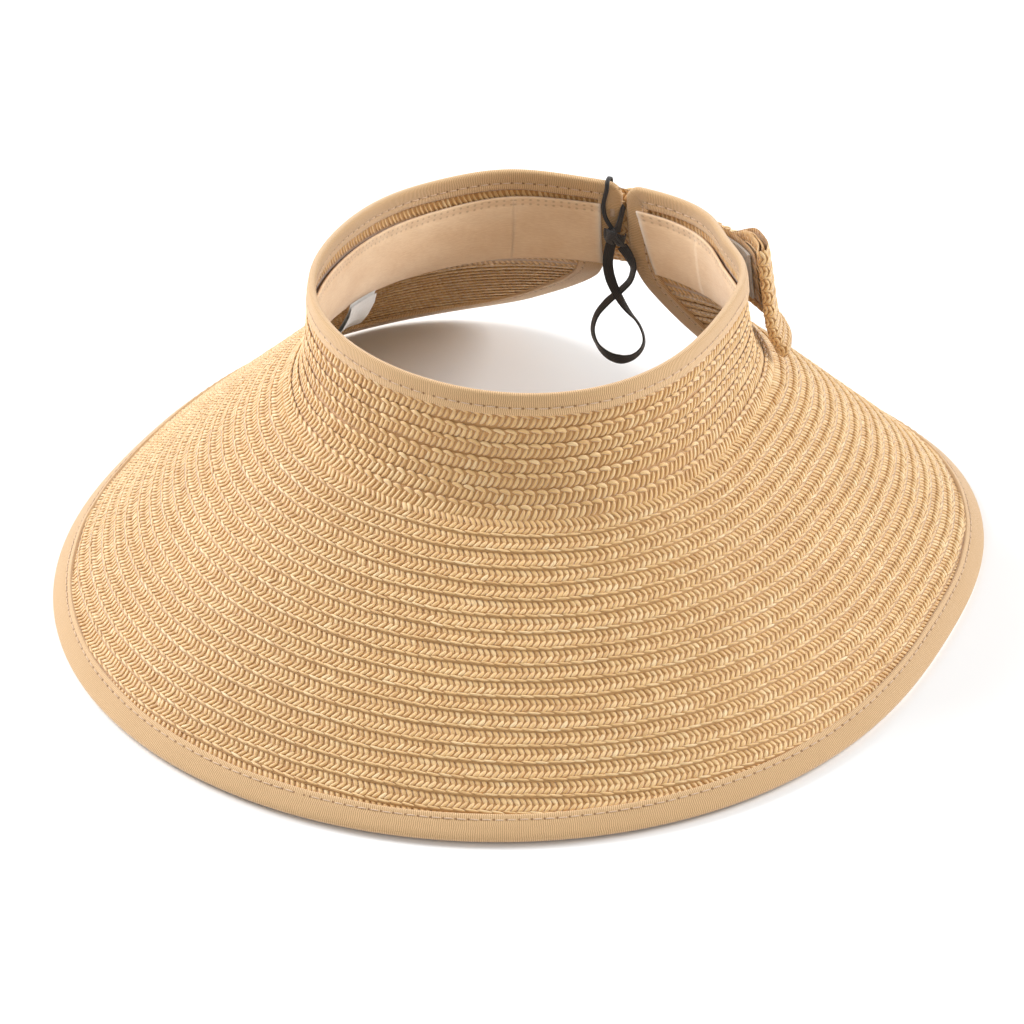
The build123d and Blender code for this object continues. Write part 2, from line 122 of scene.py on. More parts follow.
def pressed(phi, t):
    """How far the wall is pressed in beside the bow."""
    depth, centre, width = PRESSED
    return depth * np.exp(-(((phi - centre) / width) ** 2)) * near_top(t)


def edge_shift(phi, t):
    """How far the top edge stands above the plain oval, or below it."""
    rise, centre, width = BACK_RISE
    w = (phi + 180.0) % 360.0 - 180.0
    shift = rise * np.exp(-(((w - centre) / width) ** 2)) - SIDE_DROP * np.sin(np.radians(phi)) ** 2
    return shift * near_top(t)


PHI_STEP = 0.5
PHI_GRID = np.arange(-181.0, 202.0, PHI_STEP)
_mid = lean(PHI_GRID[:, None], np.arange(200)[None, :] + 0.5)
OUT = np.concatenate([np.zeros((len(PHI_GRID), 1)), np.cumsum(np.sin(_mid), 1)], 1)
DOWN = np.concatenate([np.zeros((len(PHI_GRID), 1)), np.cumsum(np.cos(_mid), 1)], 1)


def tilted(across, z, by):
    return across * math.cos(by) + z * math.sin(by), -across * math.sin(by) + z * math.cos(by)


def place(phi, t, off=0.0):
    """Points in millimetres for arrays of phi, t and off, standing on the floor."""
    phi, t, off = np.broadcast_arrays(np.asarray(phi, float), np.asarray(t, float), np.asarray(off, float))
    fi = (phi - PHI_GRID[0]) / PHI_STEP
    i = np.clip(fi.astype(int), 0, len(PHI_GRID) - 2)
    fi = fi - i
    j = np.clip(t.astype(int), 0, 198)
    fj = t - j

    def read(table):
        a = table[i, j] * (1 - fi) + table[i + 1, j] * fi
        b = table[i, j + 1] * (1 - fi) + table[i + 1, j + 1] * fi
        return a * (1 - fj) + b * fj

    tilt = lean(phi, t)
    out = read(OUT) + off * np.cos(tilt) - pressed(phi, t)
    z = off * np.sin(tilt) - read(DOWN)
    x, y = plan(phi)
    x0, y0 = plan(phi - 0.1)
    x1, y1 = plan(phi + 0.1)
    size = np.hypot(x1 - x0, y1 - y0)
    x, y = x + (y1 - y0) / size * out, y - (x1 - x0) / size * out
    y, z = tilted(y, z, TILT_FRONT)
    x, z = tilted(x, z, TILT_SIDE)
    a = np.radians(phi)
    z = z + CROWN_HEIGHT + TOP_DIP * np.cos(2 * a) + TOP_SKEW * np.sin(2 * a) + TOP_LEAN * np.sin(a)
    return np.stack([x - ORIGIN[0], y - ORIGIN[1], z + edge_shift(phi, t)], -1)


def end_gap(t, end):
    """Degrees from phi 180 to the end of an arm."""
    soft = 0.5 * ((t - end[1]) + np.hypot(t - end[1], END_SOFT))
    return END_GAP + end[0] * soft + END_CORNER * (t / 150.0) ** 16


def floor_t(phi):
    """Where the straw comes down to the floor."""
    low, high = np.full_like(phi, 100.0), np.full_like(phi, 198.0)
    for _ in range(30):
        mid = (low + high) / 2
        above = place(phi, mid)[..., 2] > FLOOR_LIFT
        low, high = np.where(above, mid, low), np.where(above, high, mid)
    return low


def distances(line):
    """How far along a line of points each of them is."""
    return np.concatenate([[0], np.cumsum(np.linalg.norm(np.diff(line, axis=0), axis=1))])


def spline(points, count):
    """Natural cubic spline through 2-D points, as count samples evenly spaced by parameter."""
    points = np.asarray(points, float)
    h = np.linalg.norm(np.diff(points, axis=0), axis=1)
    u = np.concatenate([[0], np.cumsum(h)])
    n = len(points)
    system, right = np.eye(n), np.zeros((n, points.shape[1]))
    for i in range(1, n - 1):
        system[i, i - 1:i + 2] = h[i - 1], 2 * (h[i - 1] + h[i]), h[i]
        right[i] = 6 * ((points[i + 1] - points[i]) / h[i] - (points[i] - points[i - 1]) / h[i - 1])
    second = np.linalg.solve(system, right)
    at = np.linspace(0, u[-1], count)
    i = np.clip(np.searchsorted(u, at, side="right") - 1, 0, n - 2)
    a, b = ((u[i + 1] - at) / h[i])[:, None], ((at - u[i]) / h[i])[:, None]
    hh = (h[i] ** 2)[:, None] / 6
    return a * points[i] + b * points[i + 1] + hh * ((a ** 3 - a) * second[i] + (b ** 3 - b) * second[i + 1])


ROW_INSET = 1.4             # from the brim's outline in to the rows' cut edge
LEFT_STEPS = np.array([6.0, 10.8, 21, 32, 46, 62, 80, 98, 114, 126])
RIGHT_STEPS = LEFT_STEPS[:-1]
_floor = np.linspace(-139.0, 158.0, 49)
_outline = [(-180 + end_gap(t, LEFT_END), t) for t in LEFT_STEPS]
_outline += list(zip(_floor, floor_t(_floor)))
_outline += [(180 - end_gap(t, RIGHT_END), t) for t in RIGHT_STEPS[::-1]]
OUTLINE = spline([(p * DEGREE, t) for p, t in _outline], 2401) / (DEGREE, 1.0)


def metric(phi, t):
    """Millimetres for each degree of phi."""
    return np.linalg.norm(place(phi + 0.5, t) - place(phi - 0.5, t), axis=-1)


_step = np.gradient(OUTLINE, axis=0)
_scale = metric(OUTLINE[:, 0], OUTLINE[:, 1])
_size = np.hypot(_step[:, 0] * _scale, _step[:, 1])
INWARD = np.stack([_step[:, 1] / _size / _scale, -_step[:, 0] * _scale / _size], -1)
_inset = OUTLINE + INWARD * ROW_INSET
_inset = _inset[np.argsort(_inset[:, 0])]


def limit(phi):
    """How far down the straw goes at phi, inside the brim's binding."""
    return np.interp(phi, _inset[:, 0], _inset[:, 1], left=0.0, right=0.0)


# ---------------------------------------------------------------- meshes
def make_mesh(name, points, faces, attributes):
    """A smooth mesh object from points in millimetres, faces as an array of quads, and point attributes."""
    points = np.asarray(points, np.float32).reshape(-1, 3) * MM
    faces = np.asarray(faces, np.int32).reshape(-1, 4)
    mesh = bpy.data.meshes.new(name)
    mesh.vertices.add(len(points))
    mesh.vertices.foreach_set("co", points.ravel())
    mesh.loops.add(faces.size)
    mesh.loops.foreach_set("vertex_index", faces.ravel())
    mesh.polygons.add(len(faces))
    mesh.polygons.foreach_set("loop_start", np.arange(0, faces.size, 4, dtype=np.int32))
    mesh.update(calc_edges=True)
    mesh.polygons.foreach_set("use_smooth", np.ones(len(faces), bool))
    for key, values in attributes.items():
        layer = mesh.attributes.new(key, "FLOAT", "POINT")
        layer.data.foreach_set("value", np.asarray(values, np.float32).ravel())
    return add_object(name, mesh)


def grid_faces(n, m, wrap_m=False):
    """Quads of a grid of n by m points, joined round in m if asked."""
    i, j = np.meshgrid(np.arange(n - 1), np.arange(m if wrap_m else m - 1), indexing="ij")
    k = (j + 1) % m
    return np.stack([i * m + j, i * m + k, (i + 1) * m + k, (i + 1) * m + j], -1).reshape(-1, 4)


# ---------------------------------------------------------------- materials
class Nodes:
    """A new material, with short names for building its node tree."""

    def __init__(self, name):
        self.made = bpy.data.materials.new(name)
        self.made.use_nodes = True
        self.tree = self.made.node_tree
        self.tree.nodes.clear()
        self.shader = self.add("ShaderNodeBsdfPrincipled")
        out = self.add("ShaderNodeOutputMaterial")
        self.join(self.shader, "BSDF", out, "Surface")

    def add(self, kind, **values):
        node = self.tree.nodes.new(kind)
        for key, value in values.items():
            setattr(node, key, value)
        return node

    def join(self, a, out, b, into):
        self.tree.links.new(a.outputs[out], b.inputs[into])

    def attribute(self, name):
        return self.add("ShaderNodeAttribute", attribute_name=name).outputs["Fac"]

    def math(self, operation, a, b=None):
        node = self.add("ShaderNodeMath", operation=operation)
        for slot, value in ((0, a), (1, b)):
            if value is None:
                continue
            if isinstance(value, (int, float)):
                node.inputs[slot].default_value = value
            else:
                self.tree.links.new(value, node.inputs[slot])
        return node.outputs[0]

    def combine(self, x, y, z):
        node = self.add("ShaderNodeCombineXYZ")
        for slot, value in enumerate((x, y, z)):
            if isinstance(value, (int, float)):
                node.inputs[slot].default_value = value
            else:
                self.tree.links.new(value, node.inputs[slot])
        return node.outputs[0]

    def noise(self, vector, scale, detail=3.0, rough=0.55):
        node = self.add("ShaderNodeTexNoise")
        node.inputs["Scale"].default_value = scale
        node.inputs["Detail"].default_value = detail
        node.inputs["Roughness"].default_value = rough
        self.tree.links.new(vector, node.inputs["Vector"])
        return node.outputs["Fac"]

    def ramp(self, value, stops):
        node = self.add("ShaderNodeValToRGB")
        ramp = node.color_ramp
        for element, (at, color) in zip(ramp.elements, stops[:2]):
            element.position, element.color = at, (*color, 1)
        for at, color in stops[2:]:
            ramp.elements.new(at).color = (*color, 1)
        self.tree.links.new(value, node.inputs[0])
        return node.outputs["Color"]

    def mix(self, factor, a, b, blend="MIX"):
        node = self.add("ShaderNodeMix", data_type="RGBA", blend_type=blend)
        for slot, value in ((0, factor), (6, a), (7, b)):
            if isinstance(value, (int, float)):
                node.inputs[slot].default_value = value
            elif isinstance(value, tuple):
                node.inputs[slot].default_value = (*value, 1)
            else:
                self.tree.links.new(value, node.inputs[slot])
        return node.outputs[2]

    def times(self, color, *others):
        """Colours multiplied together."""
        for other in others:
            color = self.mix(1.0, color, other, "MULTIPLY")
        return color

    def wave(self, value, pitch):
        return self.math("SINE", self.math("MULTIPLY", value, 2 * math.pi / pitch))

    def halved(self, value):
        """From the range -1 to 1 to the range 0 to 1."""
        return self.math("ADD", self.math("MULTIPLY", value, 0.5), 0.5)

    def stretched(self, x, by_x, y, by_y, z=0.0):
        return self.combine(self.math("MULTIPLY", x, by_x), self.math("MULTIPLY", y, by_y), z)

    def finish(self, roughness, specular=0.5, sheen=0.0):
        self.shader.inputs["Roughness"].default_value = roughness
        self.shader.inputs["Specular IOR Level"].default_value = specular
        self.shader.inputs["Sheen Weight"].default_value = sheen

    def bump(self, height, strength, distance):
        node = self.add("ShaderNodeBump")
        node.inputs["Strength"].default_value = strength
        node.inputs["Distance"].default_value = distance
        self.tree.links.new(height, node.inputs["Height"])
        self.tree.links.new(node.outputs["Normal"], self.shader.inputs["Normal"])

    def needle_hole_shade(self, along, near, pitch):
        """A colour to multiply by, dark at the holes of a line of stitches: painted shade in the needle
        holes.
        """
        ahead = 4000.0      # more than any piece is long, so that the remainder is never negative
        step = self.math("MODULO", self.math("ADD", along, ahead), pitch)
        step = self.math("MULTIPLY", self.math("ABSOLUTE", self.math("SUBTRACT", step, pitch / 2)), 0.8)
        squares = self.math("ADD", self.math("POWER", step, 2.0), self.math("POWER", near, 2.0))
        return self.ramp(self.math("SQRT", squares), [(0.28, (0.45, 0.36, 0.28)), (0.62, (1.0, 1.0, 1.0))])

    def color(self, value):
        self.tree.links.new(value, self.shader.inputs["Base Color"])


def object_coords(n):
    return n.add("ShaderNodeTexCoord").outputs["Object"]


def straw_material():
    n = Nodes("straw_braid")
    along, across, tone = n.attribute("along"), n.attribute("across"), n.attribute("tone")
    fibre = n.noise(n.stretched(along, 0.35, across, 4.0, n.math("MULTIPLY", tone, 37.0)), 1.0, 4.0, 0.65)
    base = n.ramp(tone, [(0.0, (0.49, 0.235, 0.052)), (0.35, (0.69, 0.405, 0.138)),
                         (0.7, (0.81, 0.52, 0.208)), (1.0, (0.88, 0.64, 0.33))])
    shade = n.ramp(fibre, [(0.28, (0.78, 0.72, 0.64)), (0.5, (1.0, 1.0, 1.0)), (0.75, (1.12, 1.1, 1.06))])
    patch = n.noise(object_coords(n), 9.0, 2.0)
    patch = n.ramp(patch, [(0.3, (0.96, 0.95, 0.93)), (0.7, (1.04, 1.04, 1.05))])
    n.color(n.times(base, shade, patch))
    n.finish(0.48, 0.8, 0.6)
    n.bump(fibre, 0.55, 0.0004)
    return n.made


RIB_PITCH = 0.78            # of the binding ribbon


def ribbon_material():
    n = Nodes("ribbed_ribbon")
    along, across = n.attribute("along"), n.attribute("across")
    drift = n.math("MULTIPLY", n.noise(n.stretched(along, 0.08, across, 0.3), 1.0, 2.0), 1.6)
    rib = n.halved(n.wave(n.math("ADD", along, drift), RIB_PITCH))
    weave = n.wave(across, 0.42)
    cloth = n.noise(n.combine(along, across, 0.0), 2.2, 3.0)
    base = n.ramp(rib, [(0.0, (0.44, 0.255, 0.105)), (0.45, (0.61, 0.385, 0.185)),
                        (1.0, (0.73, 0.485, 0.26))])
    shade = n.ramp(cloth, [(0.3, (0.92, 0.91, 0.9)), (0.7, (1.06, 1.06, 1.06))])
    stitch = n.attribute("stitch")
    edge = n.ramp(stitch, [(0.0, (1.0, 1.0, 1.0)), (0.05, (1.0, 1.0, 1.0)), (0.12, (1.10, 1.12, 1.16))])
    # Painted shade in the needle holes of the stitch line.
    hole_shade = n.needle_hole_shade(along, n.math("ABSOLUTE", stitch), STITCH)
    n.color(n.times(base, shade, edge, hole_shade))
    n.finish(0.8, 0.4, 0.4)
    n.bump(n.math("ADD", rib, n.math("MULTIPLY", weave, 0.12)), 0.6, 0.00018)
    return n.made


def cloth_material(name, color, pale, thread=0.5):
    n = Nodes(name)
    along, across = n.attribute("along"), n.attribute("across")
    weave = n.math("MULTIPLY", n.wave(along, thread), n.wave(across, thread))
    slub = n.noise(n.stretched(along, 0.35, across, 1.8), 1.0, 3.0)
    soft = n.noise(n.stretched(along, 0.05, across, 0.09), 1.0, 2.0)
    uneven = n.math("ADD", n.math("MULTIPLY", slub, 0.5), n.math("MULTIPLY", soft, 0.5))
    base = n.ramp(uneven, [(0.3, color), (0.72, pale)])
    near = n.math("MINIMUM", *(n.math("ABSOLUTE", n.attribute(line)) for line in ("stitch", "hem")))
    # Painted shade in the needle holes of the seams.
    sewn_hole_shade = n.mix(0.45, (1.0, 1.0, 1.0), n.needle_hole_shade(along, near, 3.1))
    # Paler towards each tab's end: a painted highlight on the band's end.
    n.color(n.mix(n.attribute("tab_end_highlight"), n.times(base, sewn_hole_shade), (0.93, 0.84, 0.72)))
    n.finish(0.85, 0.2, 0.3)
    n.bump(n.math("ADD", n.math("MULTIPLY", weave, 0.3), n.math("MULTIPLY", slub, 1.2)), 0.4, 0.00025)
    return n.made


def pile_material():
    n = Nodes("hook_and_loop")
    fuzz = n.noise(object_coords(n), 2600.0, 3.0, 0.7)
    n.color(n.ramp(fuzz, [(0.3, (0.68, 0.66, 0.63)), (0.6, (0.88, 0.87, 0.84))]))
    n.finish(0.9, sheen=0.6)
    n.bump(fuzz, 0.9, 0.0004)
    return n.made


def elastic_material():
    n = Nodes("woven_elastic")
    cords, picks = n.wave(n.attribute("across"), 0.75), n.wave(n.attribute("along"), 0.55)
    weave = n.math("ADD", n.math("MULTIPLY", cords, 0.6), n.math("MULTIPLY", picks, 0.4))
    n.color(n.ramp(n.halved(weave), [(0.0, (0.006, 0.005, 0.005)), (1.0, (0.028, 0.024, 0.022))]))
    n.finish(0.62, sheen=0.25)
    n.bump(weave, 0.5, 0.0002)
    return n.made


def thread_material():
    n = Nodes("sewing_thread")
    ply = n.wave(n.attribute("along"), 0.5)
    n.color(n.ramp(n.halved(ply), [(0.0, (0.56, 0.38, 0.24)), (1.0, (0.78, 0.58, 0.41))]))
    n.finish(0.6)
    n.bump(ply, 0.5, 0.0001)
    return n.made


STRAW = straw_material()
RIBBON = ribbon_material()
BAND = cloth_material("sweatband_cloth", (0.78, 0.52, 0.305), (0.95, 0.71, 0.47))
LABEL = cloth_material("label_satin", (0.72, 0.70, 0.67), (0.86, 0.85, 0.83), 0.35)
PILE = pile_material()
ELASTIC = elastic_material()
THREAD = thread_material()


def dress(thing, finish):
    thing.data.materials.clear()
    thing.data.materials.append(finish)
    return thing


def bend_with_arm(thing):
    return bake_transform(thing)


# ---------------------------------------------------------------- elastic loop
LOOP_ROUTE = [
    (-7.2, 122.9, 83.1),
    (-8.6, 122.6, 76.5),
    (-7.6, 122.1, 69.0),
    (-4.2, 121.5, 62.0),
    (0.8, 121.3, 55.0),
    (6.6, 121.9, 49.2),
    (8.8, 122.6, 41.0),
    (5.0, 123.1, 33.2),
    (-2.6, 123.4, 28.8),
    (-10.4, 123.7, 30.6),
    (-15.7, 123.9, 38.2),
    (-14.4, 124.2, 47.2),
    (-9.2, 124.5, 55.0),
    (-3.2, 124.7, 61.4),
    (1.9, 124.3, 68.2),
    (2.6, 123.7, 77.0),
    (-2.4, 122.9, 83.1),
]
ELASTIC_WIDTH, ELASTIC_THICK = 4.5, 0.7
EDGE_ON = np.array(BACK)    # a tape whose width points this way is seen edge-on in the first view


def route_line(points, name):
    """Points along the NURBS spline of a route, in millimetres."""
    data = bpy.data.curves.new(name, "CURVE")
    data.dimensions = "3D"
    data.resolution_u = 14
    line = data.splines.new("NURBS")
    line.points.add(len(points) - 1)
    for point, at in zip(line.points, points):
        point.co = (*(c * MM for c in at), 1.0)
    line.order_u = 3
    line.use_endpoint_u = True
    thing = add_object(name, data)
    mesh = bpy.data.meshes.new_from_object(thing)
    found = np.array([v.co for v in mesh.vertices], float) / MM
    bpy.data.objects.remove(thing)
    bpy.data.meshes.remove(mesh)
    return found


def flat_tape(name, line, widths, directions=None, size=None):
    """A flat elastic along a line. widths say how much of its width faces the viewer, edge-on being 0;
    directions give the width's direction outright."""
    run = np.gradient(line, axis=0)
    run /= np.linalg.norm(run, axis=1)[:, None]
    at = np.linspace(0, 1, len(line))
    if directions is None:
        turn = np.interp(at, *zip(*widths))[:, None] * math.pi / 2
        deep = EDGE_ON - run * (run @ EDGE_ON)[:, None]
        deep /= np.linalg.norm(deep, axis=1)[:, None]
        side = np.cross(run, deep)
        wide = deep * np.cos(turn) + side * np.sin(turn)
    else:
        keys = [d[0] for d in directions]
        wide = np.stack([np.interp(at, keys, [d[1][k] for d in directions]) for k in range(3)], -1)
        wide -= run * (wide * run).sum(1)[:, None]
        wide /= np.linalg.norm(wide, axis=1)[:, None]
    thin = np.cross(run, wide)
    a, b = np.array(size or (ELASTIC_WIDTH, ELASTIC_THICK)) / 2
    section = [(-a, 0), (-a * 0.93, -b * 0.8), (-a * 0.6, -b), (0, -b), (a * 0.6, -b), (a * 0.93, -b * 0.8),
               (a, 0), (a * 0.93, b * 0.8), (a * 0.6, b), (0, b), (-a * 0.6, b), (-a * 0.93, b * 0.8)]
    points = np.stack([line + wide * w + thin * h for w, h in section], 1)
    across = np.tile([w for w, h in section], len(line))
    thing = make_mesh(name, points, grid_faces(len(line), len(section), True),
                      {"along": np.repeat(distances(line), len(section)), "across": across})
    return dress(thing, ELASTIC)


loop_line = route_line(LOOP_ROUTE, "loop_route")
LOOP_FACING = [(0, 0.85), (0.12, 0.8), (0.2, 0.5), (0.27, 0.14), (0.36, 0.12), (0.44, 0.3), (0.5, 0.62),
               (0.55, 0.4), (0.6, 0.12), (0.68, 0.25), (0.76, 0.45), (0.86, 0.4), (0.93, 0.3), (1, 0.75)]
loop = flat_tape("elastic_loop_tape", loop_line, LOOP_FACING)
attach(loop, "elastic")
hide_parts("elastic_loop")

# ---------------------------------------------------------------- straw braid
PITCH = 2.3                 # one chevron along a braid
BACKING_SHADE_TONE = 0.04         # painted shade: the backing behind the strands and its step under each row's edge get this dark tone
BACKING_STEP = 2.5
RING_U = np.array([0.0, 0.16, 0.38, 0.62, 0.84, 1.0])
RING_R = np.array([0.25, 0.82, 1.0, 1.0, 0.82, 0.25])
SIDE_A = np.linspace(0, 2 * math.pi, 6, endpoint=False)


def strands(s0, v0, s1, v1, bow, width, thick, z0, z1, arch):
    """Spindle-shaped strands between two points of the (s, v) plane, as arrays n by ring by side."""
    ds, dv = s1 - s0, v1 - v0
    size = np.hypot(ds, dv)
    ps, pv = -dv / size, ds / size
    u = RING_U[None, :]
    swell = np.sin(math.pi * u)
    cs = s0[:, None] + ds[:, None] * u + (bow * ps)[:, None] * swell
    cv = v0[:, None] + dv[:, None] * u + (bow * pv)[:, None] * swell
    cz = z0[:, None] + (z1 - z0)[:, None] * u + arch * swell
    half_w = (width[:, None] * RING_R / 2)[..., None] * np.cos(SIDE_A)
    half_h = (thick[:, None] * RING_R / 2)[..., None] * np.sin(SIDE_A)
    s = cs[..., None] + half_w * ps[:, None, None]
    v = cv[..., None] + half_w * pv[:, None, None]
    z = cz[..., None] + half_h
    along = np.broadcast_to((size[:, None] * u)[..., None], s.shape)
    return s, v, z, along, half_w


STRAND_FACES = grid_faces(len(RING_U), len(SIDE_A), True)
STRAND_POINTS = len(RING_U) * len(SIDE_A)


def strand_faces(count):
    return (STRAND_FACES[None] + (np.arange(count) * STRAND_POINTS)[:, None, None]).reshape(-1, 4)


# Each style lists its strands: how many chevrons apart, (s0, v0) to (s1, v1), bow, width, thickness,
# z at each end, arch, and how much lighter it is, painted light on strands that face the lamps. v runs from a
# row's top edge to its lower edge.
BRIM_STYLE = [
    (1, (-2.0, -0.9), (0.55, 2.95), -0.30, 1.80, 1.05, -0.10, 0.05, 0.12, 0.0),
    (1, (0.60, 2.55), (-1.95, 5.25), -0.28, 1.52, 1.05, 0.12, -0.02, 0.18, 0.05),
    (2, (-2.7, 5.25), (2.6, 5.95), 0.12, 0.98, 1.05, -0.06, 0.10, 0.10, 0.08),
]
CROWN_STYLE = [
    (2, (-2.7, 0.55), (1.6, 1.95), -0.50, 1.75, 1.05, -0.02, 0.10, 0.10, 0.02),
    (1, (0.95, 1.55), (-1.25, 5.95), -0.42, 1.52, 1.05, 0.10, -0.04, 0.16, 0.04),
]
# Where a row's backing lies: v and z near its top edge, then v and z near its lower edge.
SHINGLE = {"brim": (-1.2, -0.50, 6.3, 0.46), "crown": (0.0, 0.30, 7.2, -0.34)}


def shingle(style, v):
    """How far out a row lies across its width, because each row laps the next."""
    v0, z0, v1, z1 = SHINGLE[style]
    return z0 + (z1 - z0) * (v - v0) / (v1 - v0)


def tones(count, s, lift):
    patch = 0.05 * np.sin(s / 37.0 + rng.uniform(0, 6)) + 0.04 * np.sin(s / 11.0 + rng.uniform(0, 6))
    # lift lightens strands that face the lamps: painted light.
    return np.clip(rng.normal(0.62 + lift, 0.13, count) + patch, 0.12, 1.0)


def gather(parts):
    """Several (points, faces, attributes) as one."""
    base = np.cumsum([0] + [len(points) for points, _, _ in parts])
    return (np.concatenate([points for points, _, _ in parts]),
            np.concatenate([faces + start for (_, faces, _), start in zip(parts, base)]),
            {key: np.concatenate([attributes[key] for _, _, attributes in parts]) for key in parts[0][2]})


def braid(style, s_from, s_to, keep, surface):
    """A row of braid along s. keep(s, v) says which strands stay, surface(s, v, z) gives points.
    Returns a list of (points, faces, attributes), empty where nothing is kept."""
    parts = []
    for every, (s0, v0), (s1, v1), bow, width, thick, z0, z1, arch, lift in (
        BRIM_STYLE if style == "brim" else CROWN_STYLE
    ):
        step = every * PITCH
        at = np.arange(math.ceil(s_from / step), math.floor(s_to / step) + 1) * step
        at = at[keep(at + (s0 + s1) / 2, (v0 + v1) / 2)]
        n = len(at)
        if n == 0:
            continue
        jog = rng.normal(0, 0.10, (4, n))
        a = at + jog[0]
        s, v, z, run, side = strands(
            a + s0, v0 + jog[1], a + s1 + jog[2] * 1.4, v1 + jog[3],
            np.full(n, bow), width * rng.normal(1.0, 0.06, n), thick * rng.normal(1.0, 0.06, n),
            z0 + rng.normal(0, 0.05, n), z1 + rng.normal(0, 0.05, n), arch)
        parts.append((surface(s, v, z + shingle(style, v)).reshape(-1, 3), strand_faces(n), {
            "along": run.ravel() + np.repeat(rng.uniform(0, 50, n), STRAND_POINTS),
            "across": side.ravel(), "tone": np.repeat(tones(n, at, lift), STRAND_POINTS)}))
    if parts:
        # The backing behind the strands, with its step down under the row's lower edge, is painted shade in a
        # dark tone.
        s = np.arange(math.ceil(s_from / BACKING_STEP), math.floor(s_to / BACKING_STEP) + 1) * BACKING_STEP
        v0, _, v1, _ = SHINGLE[style]
        v = np.linspace(v0 + 0.3, v1 + 0.45, 5)
        s = s[keep(s, (v0 + v1) / 2)]
        if len(s) > 1:
            lap = shingle(style, v)
            pitch = BRIM_PITCH if style == "brim" else CROWN_PITCH
            v, lap = np.append(v, v[-1] + 0.02), np.append(lap, shingle(style, v[-1] - pitch))
            ss, vv = np.meshgrid(s, v, indexing="ij")
            backing = surface(ss, vv, np.broadcast_to(lap, ss.shape)).reshape(-1, 3)
            parts.append((backing, grid_faces(len(s), len(v)), {
                "along": ss.ravel(), "across": vv.ravel(), "tone": np.full(ss.size, BACKING_SHADE_TONE)}))
    return parts


def braid_piece(name, parts):
    """One straw piece from the parts of its braids."""
    return dress(make_mesh(name, *gather(parts)), STRAW)


CROWN_FIRST, CROWN_PITCH, CROWN_ROWS, BRIM_PITCH, BRIM_ROWS = 8.0, 6.0, 8, 6.3, 20
AROUND = np.arange(-180.0, 180.01, 0.5)


def arc_table(t):
    """Distance round the visor at t for each angle of AROUND, from the front."""
    run = distances(place(AROUND, t))
    return run - np.interp(0.0, AROUND, run)


def visor_row(style, t_top, height, side):
    """Half of one row, from the front to the end of an arm."""
    table = arc_table(t_top + height / 2)
    wave = rng.uniform(0, 6.28, 3)

    def wobble(s):
        slow, quick = 0.22 * np.sin(s / 27.0 + wave[0]), 0.14 * np.sin(s / 9.7 + wave[1])
        return slow + quick + 0.07 * np.sin(s / 4.1 + wave[2])

    def keep(s, v):
        phi = np.interp(s, table, AROUND)
        inside = t_top + v < limit(phi)
        if t_top < 10.0:
            inside = (np.abs(phi) < 178.6) | (np.abs(phi) < 180 - END_GAP - 0.6) & (t_top < 5)
        half = (s > -1e-9) if side > 0 else (s < 1e-9)
        return inside & half

    def surface(s, v, z):
        phi = np.interp(s, table, AROUND)
        return place(phi, np.minimum(t_top + v + wobble(s), np.maximum(limit(phi), t_top) + 0.5), z)

    ends = (-6.0, table[-1]) if side > 0 else (table[0], 6.0)
    return braid(style, ends[0], ends[1], keep, surface)


for side, arm in ((1, "right"), (-1, "left")):
    for k in range(CROWN_ROWS):
        t_top = 1.6 if k == 0 else CROWN_FIRST + CROWN_PITCH * (k - 1)
        piece = braid_piece(f"crown_braid_{k + 1:02d}_{arm}", visor_row("crown", t_top, CROWN_PITCH, side))
        bend_with_arm(piece)
        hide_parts(f"crown_row_{k + 1:02d}", f"{arm}_arm_crown_rows")
    for k in range(BRIM_ROWS):
        t_top = CROWN_FIRST + CROWN_PITCH * (CROWN_ROWS - 1) + BRIM_PITCH * k
        piece = braid_piece(f"brim_braid_{k + 1:02d}_{arm}", visor_row("brim", t_top, BRIM_PITCH, side))
        bend_with_arm(piece)
        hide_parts(f"brim_row_{k + 1:02d}", f"{arm}_arm_brim_rows")

# ---------------------------------------------------------------- ribbon bindings
CROWN_WIDTH, BRIM_WIDTH = 8.5, 10.0
CROWN_STITCH, BRIM_STITCH = 3.0, 2.2    # from the raw edge in
CORNER = 6.0                # radius of the ends' top corners
FOLD = [(0.0, 0.0), (0.10, 0.62), (0.42, 1.22), (1.0, 1.52)]     # distance in from the edge, and off


def ribbon_profile(width, stitch):
    """Points (distance in from the edge, off) from one face's raw edge round the fold to the other's."""
    face = FOLD[1:] + [(width * 0.28, 1.62), (width * 0.5, 1.66), (width - stitch - 0.9, 1.62),
                       (width - stitch, 1.40), (width - stitch + 0.9, 1.58), (width - 0.25, 1.56),
                       (width, 1.40), (width + 0.12, 0.15)]
    return [(a, off) for a, off in reversed(face)] + [FOLD[0]] + [(a, -off) for a, off in face]


